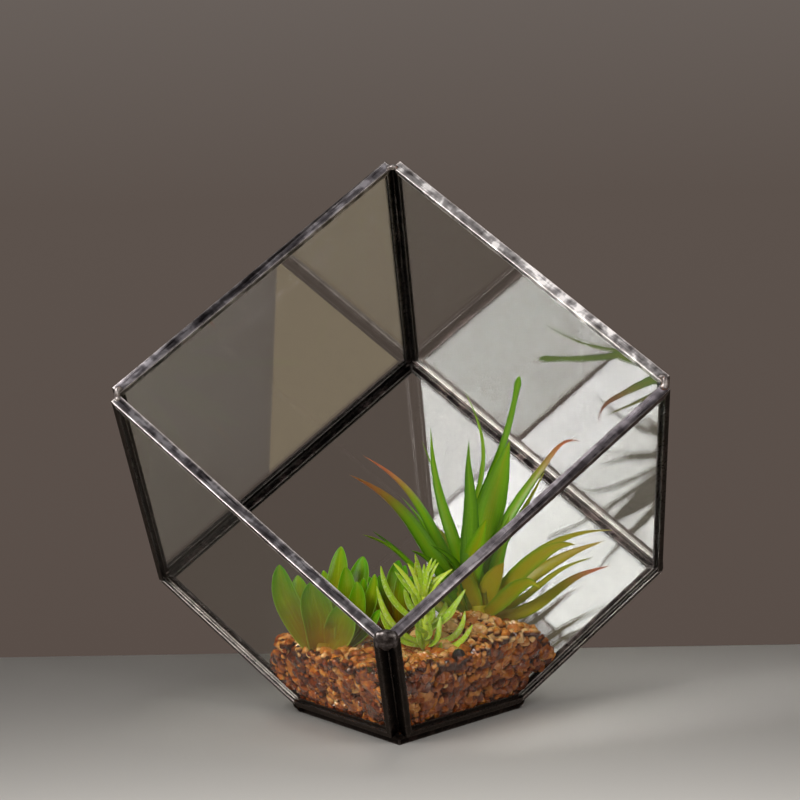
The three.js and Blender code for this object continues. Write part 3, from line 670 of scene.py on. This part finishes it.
# Each row is followed by its form, its tone (0 for deep green, 0.5 for fresh green, 1 for olive) and how
# red its tip is.
LONG_LEAF_ROOT = Vector((30, 12, 42))
LONG_LEAVES = [
    ([100, 15.5, 72.6, 3.8, 2.6, 12.8, 1, 0, 0, 0.9], BROAD, 0.5, 0),
    ([-6, 12, 74.5, 0.2, -1.2, 9, 1], LONG, 0.3, 0),
    ([-169, 20.5, 93, 2, -2.5, 3.2, 0.9, 0, 0, 4.4], LONG, 0.5, 0),
    ([-97, 17.7, 79.2, -1.6, 0.4, 6.2, 0.8, 0, 0, -1.3], LONG, 0.45, 0),
    ([-109, 23, 73, 0.9, 0, 3, 0.8, 0, 0, 0.7], LONG, 0.5, 0),
    ([-112, 51, 66, 7.5, 0, 5.6, 0.6, 0, 0, 1.8], LONG, 0.42, 1),
    ([-69, 54, 61.5, 6.4, -4, 8.2, 0.6, 0, 0, 1.8], LONG, 0.4, 0.9),
    ([-119, 36, 48.5, 2.4, 3, 3.6, 0.5, 0, 0, 1.7], LONG, 0.35, 0),
    ([-66, 50, 37, 2, -5, 4.2, 0.5, 0, 0, 2.6], LONG, 0.4, 0.1),
    ([-81, 43, 37, -1.2, -1.9, 3.6, 0.5, 0, 0, 1.9], LONG, 0.15, 0),
    ([-59, 30.5, 29.5, 3, -3.3, 7, 0.5, 0, 0, 1.7], LONG, 0.3, 0),
    ([-44, 26, 32, 4.9, 1, 8, 0.5, 0, 0, 0.6], LONG, 0.22, 0),
    ([104, 46.2, 80.4, 8.3, -0.8, 5.8, 0.7, 0, 10.1, 1.2], LONG, 0.5, 1),
    ([129, 39, 59, 4.9, -0.3, 3.6, 0.6, 0, 0, 1.5], LONG, 0.6, 0.2),
    ([112, 61.5, 32.5, 10.7, -1.7, 4.8, 0.6, 0, 0, -0.4], LONG, 0.85, 0.1),
    ([61, 46.8, 34.6, 4.4, -0.2, 7, 0.8, 0, 2.7, -0.4], BROAD, 0.78, 0.1),
    ([90, 53.5, 31, 3.9, 0, 7.4, 0.6, 0, 0, -0.2], LONG, 1, 0.3),
    ([110, 51.5, 22, 0.3, 0.2, 3.6, 0.6, 0, 0, -1.8], LONG, 0.8, 0),
    ([94, 55.5, 20, -2.2, 0.8, 6, 0.6, 0, 0, -2.8], LONG, 0.92, 1),
    ([38, 42.5, 19.5, 1.9, -0.4, 7, 0.8, 0, 4, -0.7], BROAD, 0.75, 0),
    ([28, 11, 41.5, 3.8, -4, 8.5, 0.8, 0, 0, 1.2], BROAD, 0.58, 0),
    ([78, 15, 42, 1, 1, 5.5, 0.7, 35], BROAD, 0.5, 0),
    ([-75, 20, 17, 2, 0, 9, 0.6], BROAD, 0.75, 0),
    ([-85, 22, 7, 1, 0, 9, 0.8], BROAD, 0.7, 0),
    ([-30, 14, 22, 1, 0, 9, 0.7], BROAD, 0.8, 0),
    ([-20, 12, 24, 2, -2, 9, 0.7], BROAD, 0.85, 0),
    ([45, 16, 24, 2, 0, 9, 0.7], BROAD, 0.9, 0.2),
    ([178, 30, 28, 4, 0, 8.5], LONG, 0.5, 0.2),
    ([-150, 34, 34, 4, 0, 7.5], LONG, 0.5, 0.3),
    ([127, 24.5, 98.4, 6.3, 2.8, 4.2, 0.9, 20, 0, 3.4], STRAP, 0.4, 0),
]

LEFT_PADDLE_ROOT = Vector((-31, -16, 33))
LEFT_PADDLES = [
    [-51, 20.6, 37.5, -2.3, -3.4, 10.4, 0.8],
    [-111, 11, 31, -1, 1.2, 9, 0.8],
    [-9, 18, 31, 0.4, 0.3, 13, 0.9],
    [35, 19, 22, -1.1, 1.1, 12.5, 0.85],
    [147, 12, 41, 0.3, -0.3, 9, 0.9],
    [-174, 12, 31, 0.3, -1.8, 6.5, 0.8],
    [46, 13, 35, -1.3, 3.4, 8.5, 0.8],
    [55, 17, 29, -4, 2, 8.5, 0.8],
    [146, 11, 31, 0, -2, 6.5, 0.8],
    [82, 21, 31, -5, 0, 7, 0.6],
    [95, 16, 29, -3.8, 0, 6.5, 0.7],
    [149, 28, 35, 1.1, -3, 10, 0.7],
    [73, 24, 17, -2.7, 1.1, 7, 0.5],
    [15, 5, 30, 0, 0, 7, 0.6],
    [-150, 26, 27, 0, 0, 10],
    [180, 24, 25, 0, 0, 9],
]
MIDDLE_PADDLE_ROOT = Vector((-2, 3, 34))
MIDDLE_PADDLES = [
    [20, 2, 33, 0, -2, 9, 0.8],
    [-66, 8, 27, -2, 0.8, 7.5, 0.6],
    [55, 4, 31, 0, -2.2, 7.5, 0.5],
    [-60, 13, 27, 0, -1.5, 7],
    [-100, 15, 22, 0, -1, 6.5],
    [150, 10, 25, 0, 0, 7],
    [180, 13, 25, 0, 0, 7.5],
    [-145, 17, 23, 0, 0, 7],
    [70, 12, 22, 0, 0, 7],
]

# The sedum's needles stand on its stem: the first number of a row is how many mm above the root.
SEDUM_ROOT = Vector((10, -30, 34))
SEDUM_NEEDLES = [
    (21, -24, 7, 19, 0.6, 0.3), (21, -59, 7, 15, 0.5, 1.1), (21, 41, 6, 17, 0.3, -1.2),
    (22, 147, 9, 14, 0.5, 0.3), (21, 68, 7, 15, 0.8, -2), (20, 85, 12, 13, 1.4, -1.5),
    (20, 114, 11, 11, 1.6, 2), (20, -23, 7, 17, 1.6, -1.4), (19, -79, 12, 17, 0.9, 1.2),
    (18, -104, 12, 14, 0.3, 0.3), (14, -38, 8, 11, 0, 0.2), (16, 51, 7, 10, 0, -2.5),
    (11, -81, 17, 24, -4, 0.9), (4, -60, 21, 24, -6, 3.2), (9, 73, 17, 17, -1.9, -3.1),
    (4, 104, 16, 12, -5, 0), (2, 70, 20, 10, -4.2, -0.3), (3, 42, 9, 13, -5.2, -2.6),
    (1, -36, 6, 10, -1, 0), (0, 43, 9, 5, -2.4, 0.4), (3, -74, 18, 14, -4.2, 0),
    (8, 141, 12, 11, 1.1, -3.2), (5, -87, 10, 4, -2, 0.2), (20, 180, 9, 14, 0, 0),
    (20, -150, 10, 13, 0, 0), (14, 160, 12, 12, -2, 0), (12, -140, 13, 12, -2, 0),
    (8, 170, 14, 10, -3, 0), (5, -160, 14, 10, -3, 0), (12, 20, 10, 9, -2, 0), (16, -10, 9, 9, -1, 0),
    (9, -20, 13, 10, -3, 0), (6, 10, 12, 8, -3, 0), (10, 100, 13, 10, -2, 0), (14, -170, 11, 12, -1, 0),
]


def moulded_leaf(name, tones, foot, rim, streak, powder, veins_across, roughness):
    """Moulded soft plastic in leaf colours: streaked lengthwise, with a painted rim and a little powder.

    Tones are deep, fresh and ripe. Foot is a colour and how far up it reaches. Streak and powder are each a
    colour and how much of it shows, and so is rim, with how far from the middle it starts. A tip is as red
    as its leaf's mark says. Real powder is too fine to show, so it is drawn in specks of 0.9 mm.
    """
    deep, fresh, ripe = tones
    foot_colour, foot_reach = foot
    rim_colour, rim_share, rim_start = rim
    streak_colour, streak_share = streak
    powder_colour, powder_share = powder

    material, tree, surface = new_material(name)
    mark = add(tree, "ShaderNodeAttribute", {"attribute_name": "mark"})
    parts = add(tree, "ShaderNodeSeparateColor", {"Color": mark.outputs["Color"]})
    along, across, tone = parts.outputs["Red"], parts.outputs["Green"], parts.outputs["Blue"]
    place = add(tree, "ShaderNodeCombineXYZ", {"X": across, "Y": along, "Z": tone})
    stretched = add(tree, "ShaderNodeMapping", {
        "Vector": place.outputs[0], "Scale": (veins_across, 3.0, 60.0)})
    veins = add(tree, "ShaderNodeTexNoise", {
        "Vector": stretched.outputs[0], "Scale": 1.0, "Detail": 4.0, "Roughness": 0.6})

    # The blade, greener to its edges and riper along some veins.
    from_middle = add(tree, "ShaderNodeMath", {"operation": "SUBTRACT", 0: across, 1: 0.5})
    to_edge = add(tree, "ShaderNodeMath", {"operation": "ABSOLUTE", 0: from_middle.outputs[0]})
    greener = add(tree, "ShaderNodeMath", {
        "operation": "MULTIPLY_ADD", 0: to_edge.outputs[0], 1: -0.6, 2: tone})
    wander = add(tree, "ShaderNodeMath", {
        "operation": "MULTIPLY_ADD", 0: veins.outputs["Fac"], 1: 0.5, 2: greener.outputs[0]})
    grown = add(tree, "ShaderNodeValToRGB", {
        "Fac": wander.outputs[0], "stops": [(0.12, paint(deep)), (0.6, paint(fresh)), (0.95, paint(ripe))]})

    # The foot, whose colour ends in streaks.
    height = add(tree, "ShaderNodeMath", {
        "operation": "MULTIPLY_ADD", 0: veins.outputs["Fac"], 1: 0.3, 2: along})
    low = add(tree, "ShaderNodeMapRange", {
        "interpolation_type": "SMOOTHSTEP", "Value": height.outputs[0],
        "From Min": 0.12, "From Max": foot_reach, "To Min": 0.9, "To Max": 0.0})
    footed = add(tree, "ShaderNodeMix", {
        "data_type": "RGBA", "Factor": low.outputs["Result"],
        UNDER: grown.outputs["Color"], OVER: paint(foot_colour)})

    # Streaks, the rim, the red tip and the powder, each over the last.
    pale = add(tree, "ShaderNodeMapRange", {
        "Value": veins.outputs["Fac"], "From Min": 0.5, "From Max": 0.72, "To Max": streak_share})
    streaked = add(tree, "ShaderNodeMix", {
        "data_type": "RGBA", "Factor": pale.outputs["Result"],
        UNDER: footed.outputs[MIXED], OVER: paint(streak_colour)})
    outer = add(tree, "ShaderNodeMapRange", {
        "interpolation_type": "SMOOTHSTEP", "Value": to_edge.outputs[0],
        "From Min": rim_start, "From Max": 0.5, "To Max": rim_share})
    rimmed = add(tree, "ShaderNodeMix", {
        "data_type": "RGBA", "Factor": outer.outputs["Result"],
        UNDER: streaked.outputs[MIXED], OVER: paint(rim_colour)})
    high = add(tree, "ShaderNodeMapRange", {
        "interpolation_type": "SMOOTHSTEP", "Value": along,
        "From Min": 0.55, "From Max": 0.9, "To Max": 0.95})
    red = add(tree, "ShaderNodeMath", {
        "operation": "MULTIPLY", 0: high.outputs["Result"], 1: mark.outputs["Alpha"]})
    tipped = add(tree, "ShaderNodeMix", {
        "data_type": "RGBA", "Factor": red.outputs[0],
        UNDER: rimmed.outputs[MIXED], OVER: paint("b4583c")})
    specks = add(tree, "ShaderNodeTexNoise", {
        "Vector": add(tree, "ShaderNodeTexCoord", {}).outputs["Object"],
        "Scale": 1 / (0.9 * MM), "Detail": 3.0})
    dusted = add(tree, "ShaderNodeMapRange", {
        "Value": specks.outputs["Fac"], "From Min": 0.54, "From Max": 0.66, "To Max": powder_share})
    colour = add(tree, "ShaderNodeMix", {
        "data_type": "RGBA", "Factor": dusted.outputs["Result"],
        UNDER: tipped.outputs[MIXED], OVER: paint(powder_colour)})

    bump = add(tree, "ShaderNodeBump", {
        "Height": veins.outputs["Fac"], "Strength": 0.15, "Distance": 0.25 * MM})
    plastic = add(tree, "ShaderNodeBsdfPrincipled", {
        "Base Color": colour.outputs[MIXED], "Roughness": roughness, "IOR": 1.4, "Subsurface Weight": 0.3,
        "Subsurface Radius": (0.6, 1.0, 0.15), "Subsurface Scale": 2.2 * MM,
        "Normal": bump.outputs["Normal"]})
    tree.links.new(plastic.outputs[0], surface)
    return material


def plants():
    """The four moulded plants, each on a stock that is sunk into the grit."""
    draw = np.random.default_rng(5)
    satin = moulded_leaf(
        "satin_long_leaf", tones=("285e04", "74aa06", "a69a0e"), foot=("8e680e", 0.5),
        rim=("2a6a08", 0.3, 0.3), streak=("a6c22c", 0.15), powder=("c9d890", 0.03),
        veins_across=34.0, roughness=0.36)
    gloss = moulded_leaf(
        "glossy_paddle_leaf", tones=("1b690a", "4cb40c", "94b414"), foot=("9c6406", 1.4),
        rim=("b4e45c", 0.4, 0.42), streak=("9cd83c", 0.3), powder=("c9d890", 0.03),
        veins_across=20.0, roughness=0.18)
    dusty = moulded_leaf(
        "powdered_needle", tones=("82ae0e", "b0d420", "cee238"), foot=("9fb226", 0.5),
        rim=("dcec78", 0.5, 0.38), streak=("dbec68", 0.4), powder=("f4f8e0", 0.3),
        veins_across=9.0, roughness=0.36)

    blades = [leaf(LONG_LEAF_ROOT, row, form, tone, blush, draw) for row, form, tone, blush in LONG_LEAVES]
    blades.append(rod(LONG_LEAF_ROOT - Vector((0, 0, 14)), LONG_LEAF_ROOT + Vector((0, 0, 5)), 4.5))
    make_piece("long_leaves", blades, satin, "long_leaf_succulent")

    for name, root, rows, node, stock, deepest in (
            ("left_paddles", LEFT_PADDLE_ROOT, LEFT_PADDLES, "paddle_succulent_left", 3.6, 0.45),
            ("middle_paddles", MIDDLE_PADDLE_ROOT, MIDDLE_PADDLES, "paddle_succulent_middle", 3.0, 0.05)):
        paddles = [leaf(root, row, PADDLE, deepest + draw.uniform(0, 0.3), 0, draw) for row in rows]
        paddles.append(rod(root - Vector((0, 0, 5)), root + Vector((0, 0, 4)), stock))
        make_piece(name, paddles, gloss, node)

    needles = [rod(SEDUM_ROOT - Vector((0, 0, 6)), SEDUM_ROOT + Vector((0, 0, 22)), 1.7)]
    for above, *row in SEDUM_NEEDLES:
        foot = SEDUM_ROOT + Vector((0, 0, above))
        width = 1.9 if above > 15 else 2.6
        needles.append(leaf(foot, [*row, width, 0.6], NEEDLE, draw.uniform(0.2, 0.8), 0, draw))
    make_piece("sedum_needles", needles, dusty, "sedum_spray")


# Studio


def softbox(name, place, aim, size, radiance, lit=(), colour="ffffff"):
    """A flat soft light, in metres, that faces its aim. It falls on the lit objects only, if any are."""
    lamp = bpy.data.lights.new(name, "AREA")
    lamp.shape = "RECTANGLE"
    lamp.size, lamp.size_y = size
    lamp.energy = radiance * math.pi * size[0] * size[1]
    lamp.color = paint(colour)[:3]
    light = bpy.data.objects.new(name, lamp)
    light.location = place
    light.visible_camera = False
    light.rotation_euler = (Vector(aim) - Vector(place)).to_track_quat("-Z", "Y").to_euler()
    bpy.context.collection.objects.link(light)
    if lit:
        light.light_linking.receiver_collection = bpy.data.collections.new(f"lit by {name}")
        for thing in lit:
            light.light_linking.receiver_collection.objects.link(thing)


def studio():
    """Pale table, grey surroundings, a key light at the left and a broad soft light overhead.

    The table has a lamp of its own, and the panes mirror the dim warm surroundings instead of it. One lamp
    glints in the two cames painted bright, and a faint one gives the back panes a warm sheen.
    """
    part = [thing for thing in bpy.data.objects if thing.type == "MESH"]
    back_panes = [thing for thing in part if thing.name.startswith(("glass_back", "glass_rear"))]
    # The two cames whose lighter colour is painted reflection.
    cames_painted_bright = [thing for thing in part if thing.name.startswith(
        ("came_front_left_front_left", "came_back_right_apex_right"))]

    # A painted board, matt, so that it shows the case's soft shadow and no reflection.
    mesh = bpy.data.meshes.new("table")
    mesh.from_pydata([(-3, -3, 0), (3, -3, 0), (3, 0.19, 0), (-3, 0.19, 0)], [], [(0, 1, 2, 3)])
    material, tree, surface = new_material("pale_matt_table")
    matt = add(tree, "ShaderNodeBsdfPrincipled", {"Base Color": paint("cbc7c1"), "Roughness": 0.7})
    tree.links.new(matt.outputs[0], surface)
    mesh.materials.append(material)
    table = bpy.data.objects.new("table", mesh)
    bpy.context.collection.objects.link(table)
    table.visible_glossy = False

    # The surroundings run from under the table, by the horizon at 0.5, to overhead.
    world = bpy.data.worlds.new("studio")
    world.use_nodes = True
    tree = world.node_tree
    around = add(tree, "ShaderNodeTexCoord", {})
    toward = add(tree, "ShaderNodeSeparateXYZ", {"Vector": around.outputs["Generated"]})
    height = add(tree, "ShaderNodeMapRange", {"Value": toward.outputs["Z"], "From Min": -1.0})
    wall = add(tree, "ShaderNodeValToRGB", {"Fac": height.outputs["Result"], "stops": [
        (0.36, paint("4e443c")), (0.42, paint("594e48")), (0.5, paint("5c524c")), (0.54, paint("69615c")),
        (0.72, paint("3a3533"))]})
    tree.links.new(wall.outputs["Color"], tree.nodes["Background"].inputs["Color"])
    bpy.context.scene.world = world
    bpy.context.scene.view_settings.view_transform = "Standard"

    middle = (0.03, 0.05, 0.11)
    softbox("key", (-0.54, -0.69, 0.68), middle, size=(0.34, 0.34), radiance=18, lit=part)
    softbox("overhead", (0.09, -0.38, 1.1), (0.09, -0.38, 0), size=(0.27, 0.4), radiance=2.2)
    softbox("low_fill", (0.55, -1.0, 0.28), middle, size=(0.5, 0.35), radiance=2.5, lit=part)
    softbox("table_light", (0, -0.5, 0.26), (0, -0.35, 0), size=(0.6, 0.15), radiance=11, lit=[table])
    softbox("edge_glint", (-0.75, -0.5, 0.14), (-0.05, -0.07, 0.14), size=(0.2, 0.3), radiance=45,
            lit=cames_painted_bright)
    softbox("pane_sheen", (0.245, 0.33, -0.12), (-0.04, 0, 0.17), size=(0.28, 0.28), radiance=0.37,
            lit=back_panes, colour="ffeabc")

    # The camera stands where the case's ten corners fall as they do in the photograph.
    camera = bpy.data.objects.new("camera", bpy.data.cameras.new("camera"))
    camera.data.sensor_width = 36
    camera.data.lens = 132.296
    camera.data.clip_start = 0.01
    camera.location = (0.0644, -1.2007, 0.2154)
    camera.rotation_euler = [math.radians(a) for a in (86.0837, 1.4013, 2.9369)]
    bpy.context.collection.objects.link(camera)
    bpy.context.scene.camera = camera


dress_case()
grit()
plants()
studio()
